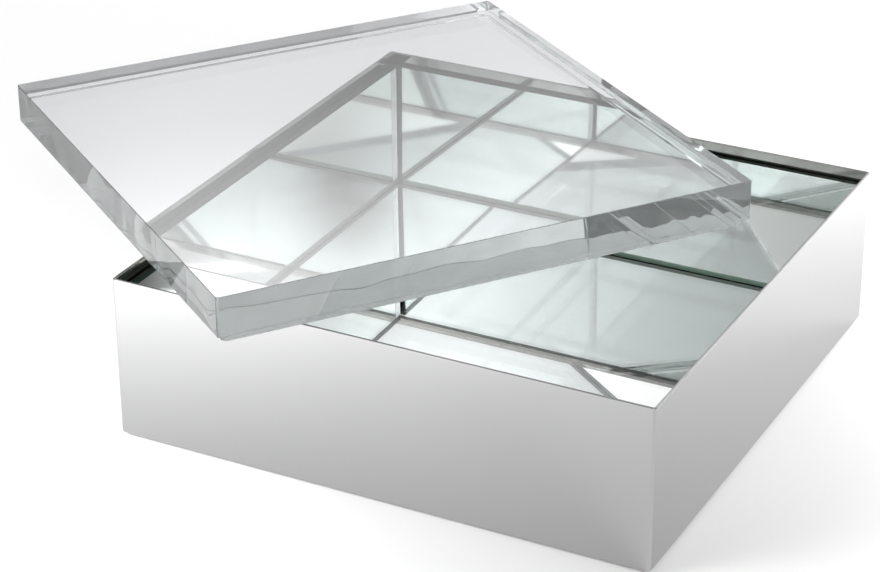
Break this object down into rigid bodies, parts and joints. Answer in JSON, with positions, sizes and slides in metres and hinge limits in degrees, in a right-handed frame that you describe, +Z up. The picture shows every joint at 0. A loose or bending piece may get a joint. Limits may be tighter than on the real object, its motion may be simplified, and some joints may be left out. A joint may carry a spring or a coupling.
{
  "type": "lidded box",
  "caption": "Low square keepsake box of polished sheet metal, lined with mirror glass, with a thick clear lid that lies turned on the rim and lifts straight off.",
  "frame": {"origin": "middle of the felt base, on the surface that the box stands on", "axes": "+Z up, -Y towards the wide face that the picture shows, +X towards the face on its right"},
  "size_m": [0.4538, 0.42, 0.1185],
  "materials": {
    "polished_steel": "mirror polished",
    "mirror_glass": "3 mm float glass, silvered, faintly green",
    "foam": "black foam",
    "felt": "black felt",
    "crystal": "clear, polished all over"
  },
  "bodies": {
    "box": {"outer_case": "polished_steel", "felt_base": "felt", "backing_floor": "foam", "mirror_floor": "mirror_glass", "backing_front": "foam", "backing_right": "foam", "backing_back": "foam", "backing_left": "foam", "mirror_front": "mirror_glass", "mirror_right": "mirror_glass", "mirror_back": "mirror_glass", "mirror_left": "mirror_glass"},
    "lid": {"lid": "crystal"}
  },
  "joints": [
    {"name": "lid_lift", "type": "slide", "parent": "box", "child": "lid", "axis": [0, 0, 1], "range_m": [0, 0.15]}
  ]
}
